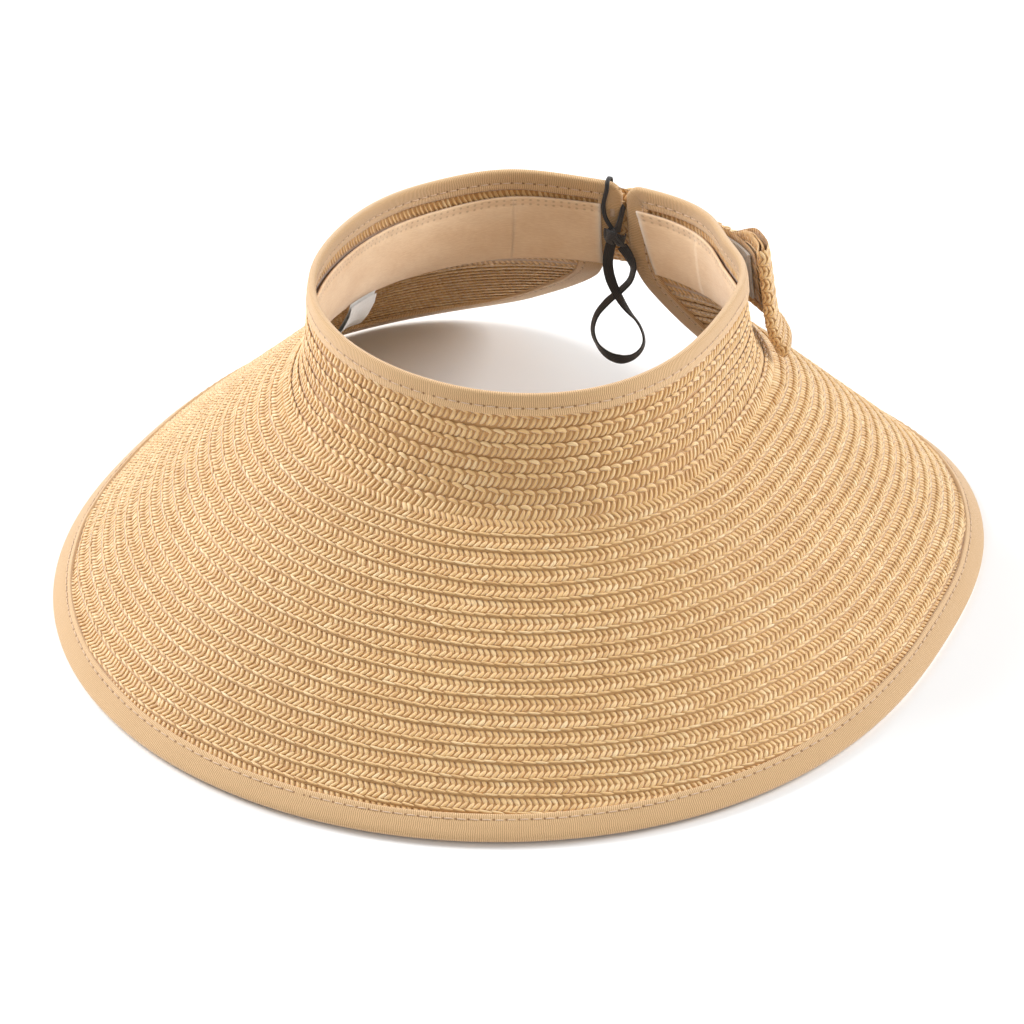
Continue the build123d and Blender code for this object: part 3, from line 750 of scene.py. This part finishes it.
def binding(name, outer, inner, width, stitch, side, nodes):
    """A folded ribbon whose fold follows outer and whose raw edges follow inner, both lists of (phi, t)."""
    outer, inner = np.asarray(outer, float), np.asarray(inner, float)
    run = distances(place(outer[:, 0], outer[:, 1]))
    fine = np.arange(0, run[-1], 1.1)
    fine = np.append(fine, run[-1])
    outer = np.stack([np.interp(fine, run, outer[:, i]) for i in (0, 1)], -1)
    inner = np.stack([np.interp(fine, run, inner[:, i]) for i in (0, 1)], -1)
    profile = np.array(ribbon_profile(width, stitch))
    f, off = profile[:, 0] / width, profile[:, 1]
    wave = rng.uniform(0, 6.28, 3)
    ripple = 0.07 * np.sin(fine / 5.3 + wave[0]) + 0.06 * np.sin(fine / 13.0 + wave[1])
    calm = smooth(fine / 15) * smooth((run[-1] - fine) / 15)
    ripple = ripple * calm
    edge = 1 + 0.012 * np.sin(fine / 7.9 + wave[2]) * calm
    share = f[None, :] * np.where(f[None, :] > 0.9, edge[:, None], 1.0)
    flat = outer[:, None] + (inner - outer)[:, None] * share[..., None]
    lift = np.sign(off)[None, :] * ripple[:, None] * smooth(f * 2)[None, :]
    points = place(flat[..., 0], flat[..., 1], off[None, :] + lift)
    seam = profile[:, 0] - (width - stitch)
    thing = make_mesh(name, points, grid_faces(len(fine), len(profile)), {
        "along": np.repeat(fine, len(profile)),
        "across": np.tile(profile[:, 0] * np.sign(off), len(fine)), "stitch": np.tile(seam, len(fine))})
    dress(thing, RIBBON)
    bend_with_arm(thing)
    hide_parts(*nodes)
    sew(name + "_stitches", outer, inner, fine, 1 - stitch / width)


STITCH_GAP = 1.15           # between two stitches, at the needle hole


def sew(name, outer, inner, run, f):
    """Lockstitches through both faces of a ribbon: a thread between two needle holes, over and over."""
    marks = np.arange(STITCH, run[-1] - STITCH / 2, STITCH)
    n = len(marks)
    parts = []
    for face in (1, -1):
        marks_here = marks + rng.normal(0, 0.10, n)
        s, v, z, along, half = strands(
            marks_here - (STITCH - STITCH_GAP) / 2, rng.normal(0, 0.06, n),
            marks_here + (STITCH - STITCH_GAP) / 2, rng.normal(0, 0.06, n),
            np.zeros(n), np.full(n, 0.52), np.full(n, 0.42), np.full(n, 1.42), np.full(n, 1.42), 0.18)
        phi = np.stack([np.interp(s, run, (outer + (inner - outer) * f)[:, i]) for i in (0, 1)], -1)
        slope = (inner - outer) / np.maximum(1e-6, np.hypot(*(inner - outer).T))[:, None]
        drift = np.stack([np.interp(s, run, slope[:, i]) for i in (0, 1)], -1)
        at = phi + drift * v[..., None]
        parts.append((place(at[..., 0], at[..., 1], face * z).reshape(-1, 3), strand_faces(n),
                      {"along": along.ravel(), "across": half.ravel()}))
    thing = dress(make_mesh(name, *gather(parts)), THREAD)
    bend_with_arm(thing)


def corner_paths(side, end):
    """Outer and inner (phi, t) of the ribbon along the top edge and round the corner, and on down the end."""
    per = float(metric(180.0 * side, 3.0))
    tip = 180 - float(end_gap(CORNER, end))
    centre = tip - CORNER / per
    stop = tip - BRIM_WIDTH / float(metric(180.0 * side, 8.0))
    top = np.linspace(0.0, centre, 400)
    outer = [(phi, 0.0) for phi in top]
    turn = np.radians(np.linspace(0, 90, 14)[1:])
    arc = [(centre + CORNER / per * math.sin(a), CORNER * (1 - math.cos(a))) for a in turn]
    inner = [(min(phi, stop), CROWN_WIDTH) for phi in top]
    half = len(arc) // 2
    crown = outer + arc[:half], inner + [(stop, CROWN_WIDTH)] * half
    rest = arc[half - 1:-1], [(stop, CROWN_WIDTH)] * (len(arc) - half)
    flip = np.array([side, 1.0])
    return [tuple(np.array(path) * flip for path in pair) for pair in (crown, rest)]


def brim_paths(side, start):
    """The same down the end and round the brim to the front, after the corner."""
    rows = OUTLINE[::-1] if side > 0 else OUTLINE
    lead = INWARD[::-1] if side > 0 else INWARD
    half = (rows[:, 0] * side > 0)
    front = np.abs(OUTLINE[:, 0]) < 20
    middle = [np.array([[np.interp(0.0, OUTLINE[front, 0], table[front, i]) for i in (0, 1)]])
              for table in (OUTLINE, INWARD)]
    rows, lead = np.concatenate([rows[half], middle[0]]), np.concatenate([lead[half], middle[1]])
    inner = rows + lead * BRIM_WIDTH
    low = inner[:, 1] < CROWN_WIDTH
    inner[low] = start[1][-1]
    return np.concatenate([start[0], rows]), np.concatenate([start[1], inner])


for side, arm, end in ((1, "right", RIGHT_END), (-1, "left", LEFT_END)):
    crown_path, corner_path = corner_paths(side, end)
    binding(f"crown_binding_{arm}", *crown_path, CROWN_WIDTH, CROWN_STITCH, side,
            ["front_crown_binding", f"{arm}_arm_crown_binding"])
    binding(f"brim_binding_{arm}", *brim_paths(side, corner_path), BRIM_WIDTH, BRIM_STITCH, side,
            ["front_brim_binding", f"{arm}_arm_brim_binding"])

# ---------------------------------------------------------------- sweatband and label
BAND_IN, BAND_THICK, BAND_TOP, BAND_LOW = -1.9, 0.7, 14.0, 45.0


def band_edges(phi):
    near = np.exp(-(((180 - np.abs(phi)) / 40.0) ** 2))
    return BAND_TOP - 4.0 * near, BAND_LOW - 7.0 * near


def sweatband(name, start, stop, slant, body, nodes):
    """A length of the band from phi start to stop, where slant turns its end. It rides body, or is left
    unattached if body is None."""
    count = max(8, int(abs(stop - start) * 1.5 / 1.2))
    phi = np.linspace(start, stop, count)
    share = np.array([0, 0.02, 0.05, 0.09, 0.12, 0.15, 0.22, 0.35, 0.5, 0.65, 0.8, 0.9, 0.95, 0.98, 1.0])
    top, low = band_edges(phi)
    wave = rng.uniform(0, 6.28, 4)
    s = np.abs(phi - start) * 1.6
    t = top[:, None] + (low - top)[:, None] * share[None, :]
    turn = slant * np.clip((np.arange(count) / (count - 1) - 0.6) / 0.4, 0, 1) if slant else np.zeros(count)
    at = phi[:, None] + turn[:, None] * (t - (top + low)[:, None] / 2)
    groove = 0.28 * np.exp(-((share - 0.12) / 0.022) ** 2) + 0.20 * np.exp(-((share - 0.95) / 0.02) ** 2)
    pucker = 0.16 * np.sin(s[:, None] / 2.1 + wave[0] + 2.0 * share) * np.exp(-((share - 0.10) / 0.10) ** 2)
    calm = (smooth(s / 9.0) * smooth((s[-1] - s) / 9.0))[:, None]
    pucker = pucker * calm
    belly = np.sin(math.pi * share)
    loose = 0.30 * calm * np.sin(s[:, None] / 17.0 + wave[1]) * belly + 0.25 * belly
    hem = 0.15 * smooth((share - 0.93) / 0.03) + 0.12 * smooth((0.09 - share) / 0.03)
    front = BAND_IN - BAND_THICK + groove - pucker - loose - hem
    back = np.full_like(front, BAND_IN + 0.15)
    ring_phi, ring_t, ring_off = (
        np.concatenate([a, b[:, ::-1]], 1) for a, b in ((at, at), (t, t), (front, back)))
    points = place(ring_phi, ring_t, ring_off)
    m = ring_t.shape[1]
    faces = grid_faces(count, m, True)
    caps = []
    for row in (0, count - 1):
        for j in range(m // 2 - 1):
            caps.append([row * m + j, row * m + j + 1, row * m + m - 2 - j, row * m + m - 1 - j])
    faces = np.concatenate([faces, np.array(caps)])
    seam = ring_t - (top + 0.12 * (low - top))[:, None]
    hem_line = ring_t - top[:, None] - 1.3
    # Paler towards the end of each tab: a painted highlight.
    ends = np.exp(-((np.abs(phi - stop) * 1.6 / 1.3) ** 2)) * (0.75 if body else 0.0)
    thing = make_mesh(name, points, faces, {
        "along": np.repeat(s, m), "across": ring_t.ravel(),
        "stitch": seam, "hem": hem_line, "tab_end_highlight": np.repeat(ends, m)})
    dress(thing, BAND)
    if body:
        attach(thing, body)
    else:
        bend_with_arm(thing)
    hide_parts(*nodes)
    long = float(np.linalg.norm(np.diff(place(phi, t[:, 7], -2.3), axis=0), axis=1).sum())


LEFT_SEAM, RIGHT_SEAM, APART = -152.0, 157.0, 0.02     # where each end length is joined on
sweatband("sweatband_left_side", 0.0, LEFT_SEAM + APART, 0, None, ["sweatband_front", "sweatband_left"])
sweatband("sweatband_left_tab", LEFT_SEAM - APART, -174.0, 0, "left_arm", ["sweatband_left_end"])
sweatband("sweatband_right_side", 0.0, RIGHT_SEAM - APART, 0, None, ["sweatband_front", "sweatband_right"])
sweatband("sweatband_right_tab", RIGHT_SEAM + APART, 174.2, -0.16, "right_arm", ["sweatband_right_end"])

# The label is folded once and hangs from the band.
LABEL_PHI = np.linspace(-112.0, -99.0, 12)
_fold = np.array([(42.5, -3.1), (46.0, -4.3), (52.0, -6.3), (58.0, -8.2), (59.3, -9.0), (58.8, -9.6),
                  (53.0, -8.3), (47.0, -6.0), (43.2, -4.2)])
_curl = 0.5 * np.cos(np.linspace(0, math.pi * 2, len(LABEL_PHI)))
_points = place(LABEL_PHI[:, None], _fold[None, :, 0],
                _fold[None, :, 1] - _curl[:, None] * (_fold[None, :, 0] - 42.5) / 17)
_drop = np.concatenate([[0], np.cumsum(np.hypot(*np.diff(_fold, axis=0).T))])
_far = np.full(_points[..., 0].size, 9.0)
label = make_mesh("care_label_cloth", _points, grid_faces(len(LABEL_PHI), len(_fold)), {
    "along": np.repeat(np.arange(len(LABEL_PHI)) * 1.9, len(_fold)),
    "across": np.tile(_drop, len(LABEL_PHI)), "stitch": _far, "hem": _far})
dress(label, LABEL)
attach(label, "left_arm")
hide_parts("care_label")

# ---------------------------------------------------------------- closure strap and its anchor
BACK_PHI = np.arange(118.0, 200.0, 0.5)


def place_clear(phi, t, off):
    """As place, but standing clear of the wall where it is pressed in."""
    return place(phi, t, off + pressed(phi, t))


def back_table(t, off):
    """Distance along the back at t and off, from phi 180 towards +X."""
    run = distances(place(BACK_PHI, t, off))
    return np.interp(180.0, BACK_PHI, run) - run


def always(s, v):
    return np.ones(np.shape(s), bool)


STRAP_T, STRAP_ROWS = (9.3, 33.0), 4
STRAP_ROW = (STRAP_T[1] - STRAP_T[0]) / STRAP_ROWS


def strap_piece(name, phi_from, phi_to, off_at, body, node):
    """Rows of braid along the back, off_at(phi) out from the wall."""
    table = back_table(21.0, 3.0)
    ends = sorted(np.interp([phi_from, phi_to], BACK_PHI, table))
    rows = []
    for k in range(STRAP_ROWS):
        def surface(s, v, z, k=k):
            phi = np.interp(-s, -table, BACK_PHI)
            t = STRAP_T[0] + STRAP_ROW * (k + v / BRIM_PITCH)
            return place_clear(phi, t, off_at(phi) + 0.5 + z * 0.45)

        rows += braid("brim", ends[0] + 1.4, ends[1] - 1.4, always, surface)
    thing = braid_piece(name, rows)
    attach(thing, body)
    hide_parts(node)


def strap_off(phi):
    return 2.25 + 1.35 * smooth((180.0 - phi) / 10.0)


strap_piece("closure_strap_braid", 189.6, 132.0, strap_off, "closure", "closure_strap")
strap_piece("strap_anchor_braid", 197.0, 190.2, lambda phi: 2.0, "left_arm", "strap_anchor")

for node in ("hook_tape", "loop_tape"):
    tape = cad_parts[node]
    tape.data.materials.clear()
    tape.data.materials.append(PILE)

# ---------------------------------------------------------------- bow
BOW_PHI, BOW_HALF, BOW_T, BOW_PINCH = 155.5, 30.5, (4.5, 49.5), 9.0
BOW_SLANT, BOW_OFF, BOW_LAYER, BOW_OPEN, KNOT_HALF = -0.178, (2.8, 4.9), 1.4, 2.8, 5.0
BOW_ROWS, BOW_FINE, BOW_DROOP = 9, 1.3, 4.5      # its braid is BOW_FINE times finer than the brim's
BOW_ROW = (BOW_T[1] - BOW_T[0]) / BOW_ROWS
BACK_SCALE = float(metric(BOW_PHI, 27.0)) * 1.04


def bow_base(phi):
    """How far out from the wall the bow lies, more where the strap is under it."""
    return BOW_OFF[0] + (BOW_OFF[1] - BOW_OFF[0]) * smooth((phi - 123.5) / 8.5)


def bow_loop(name, side, node):
    """One loop of the bow: out along the back layer, round the fold, and back along the front."""
    inner, long = KNOT_HALF * BACK_SCALE * 0.7, BOW_HALF * BACK_SCALE
    x = np.linspace(inner, long - 1.0, 60)
    opening = 0.4 + (BOW_OPEN - 0.4) * smooth(x / long / 0.6)
    phi_x = BOW_PHI - side * x / BACK_SCALE
    back_y = bow_base(phi_x) + BOW_LAYER / 2
    front_y = back_y + BOW_LAYER + opening
    turn = np.linspace(-90, 90, 16)[1:-1]
    mid, radius = (back_y[-1] + front_y[-1]) / 2, (front_y[-1] - back_y[-1]) / 2
    fold_x = x[-1] + radius * 0.8 * np.cos(np.radians(turn))
    fold_y = mid + radius * np.sin(np.radians(turn))
    px = np.concatenate([x, fold_x, x[::-1]])
    py = np.concatenate([back_y, fold_y, front_y[::-1]])
    run = np.concatenate([[0], np.cumsum(np.hypot(np.diff(px), np.diff(py)))])
    nx, ny = np.gradient(py, run), -np.gradient(px, run)
    size = np.hypot(nx, ny)
    nx, ny = nx / size, ny / size

    def shaped(bx, t_flat, off):
        """A point bx out from the knot, pinched in towards it, with its end slanted or drooping."""
        share = np.clip(bx / long, 0, 1)
        pinch = BOW_PINCH * (1 - smooth(share / 0.55))
        middle = (BOW_T[0] + BOW_T[1]) / 2
        t = middle + (t_flat - middle) * (1 - 2 * pinch / (BOW_T[1] - BOW_T[0]))
        phi = BOW_PHI - side * bx / BACK_SCALE
        if side > 0:
            phi = phi + BOW_SLANT * share ** 2 * (t - middle)
        else:
            t = t + BOW_DROOP * smooth(share / 0.5) * (BOW_T[1] - t) / (BOW_T[1] - BOW_T[0])
        return place_clear(phi, t, off)

    def on_bow(q, t_flat, z):
        bx, by = np.interp(q, run, px), np.interp(q, run, py)
        bx, by = bx + z * np.interp(q, run, nx), by + z * np.interp(q, run, ny)
        fade = 1 - smooth(np.clip(bx / long, 0, 1) / 0.5)
        return shaped(bx, t_flat, by + 0.5 * np.sin(t_flat / 3.4) * fade * (by > mid))

    rows = []
    for k in range(BOW_ROWS):
        def surface(q, v, z, k=k):
            return on_bow(q / BOW_FINE, BOW_T[0] + BOW_ROW * (k + v / BRIM_PITCH), z * 0.5)

        rows += braid("brim", 2.0 * BOW_FINE, (run[-1] - 2.0) * BOW_FINE, always, surface)
    # The raw end is turned in between the two layers.
    core_x = np.linspace(long * 0.45, long - 2.6, 40)
    core_y = np.interp(core_x, x, back_y) + (BOW_LAYER + np.interp(core_x, x, opening)) / 2
    for k in range(BOW_ROWS):
        def inside(q, v, z, k=k):
            t_flat = BOW_T[0] + 0.8 + (BOW_ROW - 0.2) * (k + v / BRIM_PITCH)
            return shaped(q, t_flat, np.interp(q, core_x, core_y) + z)

        rows += braid("brim", core_x[0], core_x[-1], always, inside)
    thing = braid_piece(name, rows)
    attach(thing, "closure")
    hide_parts(node)


bow_loop("bow_right_braid", 1, "bow_right_loop")
bow_loop("bow_left_braid", -1, "bow_left_loop")


def bow_knot():
    """A strip of braid wrapped round the middle, its rows running up and down."""
    top, low = BOW_T[0] + BOW_PINCH - 1.4, BOW_T[1] - BOW_PINCH + 1.4
    depth = 5.6
    corner = 2.2
    path = np.array([
        (top + corner, 0.3), (top + 0.6, 0.9), (top, corner),
        (top, depth - corner), (top + 0.7, depth - 0.7), (top + corner, depth),
        (low - corner, depth), (low - 0.7, depth - 0.7), (low, depth - corner),
        (low, corner), (low - 0.6, 0.9), (low - corner, 0.3)])
    run = np.concatenate([[0], np.cumsum(np.hypot(*np.diff(path, axis=0).T))])
    fine = np.linspace(0, run[-1], 160)
    pt, po = np.interp(fine, run, path[:, 0]), np.interp(fine, run, path[:, 1])
    po = po + 0.5 * np.sin((pt - top) / (low - top) * math.pi) * (po > depth / 2)
    nt, no = -np.gradient(po, fine), np.gradient(pt, fine)
    size = np.hypot(nt, no)
    nt, no = nt / size, no / size
    wide = 2 * KNOT_HALF * BACK_SCALE * 0.92
    rows = []
    for k in range(3):
        def surface(q, v, z, k=k):
            across = wide * ((k + v / BRIM_PITCH) / 3 - 0.5)
            t = np.interp(q, fine, pt) + z * 0.8 * np.interp(q, fine, nt)
            off = BOW_OFF[1] + np.interp(q, fine, po) + z * 0.8 * np.interp(q, fine, no)
            return place_clear(BOW_PHI - across / BACK_SCALE, t, off)

        rows += braid("brim", 1.5, run[-1] - 1.5, always, surface)
    thing = braid_piece("bow_knot_braid", rows)
    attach(thing, "closure")
    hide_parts("bow_knot")


bow_knot()

# ---------------------------------------------------------------- the elastic's hitch and strands
OVER_PHI, OVER_OFF, OVER_CENTRE = -175.9, 2.5, 0.9


def ride_elastic(name, line, directions, node, size=None):
    tape = flat_tape(name, line, None, directions, size)
    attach(tape, "left_arm")
    if node:
        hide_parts(node)


_over = [(-178.0, 20.9, -4.8), (-177.0, 18.6, -4.3), (-175.6, 15.6, -3.7),
         (-175.0, 12.6, -3.2), (-174.9, 9.0, -2.7)]
_turn = np.radians(np.linspace(0, 180, 13))
_over += [(OVER_PHI, OVER_CENTRE - OVER_OFF * math.sin(a), -OVER_OFF * math.cos(a)) for a in _turn]
_over += [(OVER_PHI, 4.0, OVER_OFF), (OVER_PHI, 7.6, OVER_OFF)]
_over = spline(np.concatenate([place(*p).reshape(1, 3) for p in _over]), 60)
_across = (place(OVER_PHI + 0.5, 10.0) - place(OVER_PHI - 0.5, 10.0)).ravel()
ride_elastic("elastic_over_tape", _over, [(0, _across), (1, _across)], "elastic_strand_over", (1.8, 0.8))
_gap = spline([(-4.6, 122.6, 89.0), (-4.1, 123.2, 92.0), (-3.9, 124.4, 94.2),
               (-3.9, 126.2, 96.5), (-3.9, 128.3, 98.4)], 24)
ride_elastic("elastic_gap_tape", _gap,
             [(0, (0.3, 0.5, 0.8)), (0.4, (0.1, 0.8, -0.5)), (1, (0, 0.5, -0.8))], "elastic_strand_gap")
HITCH_PARTS = [
    ("elastic_hitch_wrap",
     [(-8.9, 124.6, 87.2), (-8.9, 122.5, 87.6), (-7.6, 120.9, 88.2), (-5.2, 120.3, 88.3),
      (-2.6, 121.0, 87.2), (-1.7, 122.6, 86.3), (-1.9, 124.6, 85.8)],
     [(0, (0.15, -0.1, 1)), (0.5, (0.3, -0.2, 1)), (1, (0.2, 0, 1))], "elastic_hitch"),
    ("elastic_hitch_left",
     [(-7.9, 121.8, 90.2), (-7.9, 121.3, 87.5), (-7.5, 122.2, 84.6), (-7.2, 122.9, 83.1)],
     [(0, (1, -0.3, 0)), (1, (1, -0.2, 0))], None),
    ("elastic_hitch_right",
     [(-6.6, 121.2, 90.4), (-4.6, 120.4, 88.2), (-3.0, 121.6, 85.2), (-2.4, 122.9, 83.1)],
     [(0, (0.9, -0.2, 0.5)), (1, (1, -0.2, 0.3))], None),
]
for name, route, directions, node in HITCH_PARTS:
    ride_elastic(name, spline(route, 30), directions, node)

# ---------------------------------------------------------------- bar tack on the end ribbon
_rows = 11
_t = np.linspace(11.7, 14.9, _rows)
_s, _v, _z, _along, _side = strands(
    np.full(_rows, -1.05) + rng.normal(0, 0.05, _rows), _t, np.full(_rows, 1.05) + rng.normal(0, 0.05, _rows),
    _t + 0.12 * (-1) ** np.arange(_rows), np.zeros(_rows), np.full(_rows, 0.34), np.full(_rows, 0.34),
    np.full(_rows, -1.85), np.full(_rows, -1.85), -0.08)
tack = make_mesh("end_bar_tack_thread", place(-176.95 + _s / 1.66, _v, _z),
                 strand_faces(_rows), {"along": _along, "across": _side})
dress(tack, THREAD)
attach(tack, "left_arm")
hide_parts("end_bar_tack")

# ---------------------------------------------------------------- floor and light
floor_mesh = bpy.data.meshes.new("floor")
floor_mesh.from_pydata([(-9, -9, 0), (9, -9, 0), (9, 9, 0), (-9, 9, 0)], [], [(0, 1, 2, 3)])
floor = add_object("floor", floor_mesh)
floor.location.z = -0.0004
_n = Nodes("pale_floor")
_tint = _n.noise(object_coords(_n), 3.0, 2.0)
_n.color(_n.ramp(_tint, [(0.0, (0.90, 0.90, 0.90)), (1.0, (0.92, 0.92, 0.92))]))
_n.finish(0.9, 0.1)
floor_mesh.materials.append(_n.made)

world = bpy.data.worlds.new("studio")
world.use_nodes = True
world.node_tree.nodes["Background"].inputs[0].default_value = (1.0, 1.0, 1.0, 1)
world.node_tree.nodes["Background"].inputs[1].default_value = 0.60
bpy.context.scene.world = world
bpy.context.scene.view_settings.view_transform = "Standard"
bpy.context.scene.view_settings.look = "None"


def lamp(name, at, size, energy, color=(1, 1, 1)):
    data = bpy.data.lights.new(name, "AREA")
    data.shape, data.size, data.energy, data.color = "DISK", size, energy, color
    thing = add_object(name, data)
    thing.location = at
    thing.rotation_euler = (Vector(at) - Vector((0, 0, 0.05))).to_track_quat("Z", "Y").to_euler()


lamp("left_box", (-1.58, 0.05, 1.05), 1.1, 40.0, (0.99, 0.995, 1.0))
lamp("right_box", (1.35, 0.95, 1.05), 1.1, 28.5, (0.99, 0.995, 1.0))
lamp("front_fill", (0.9, -1.6, 1.3), 1.2, 2.5)
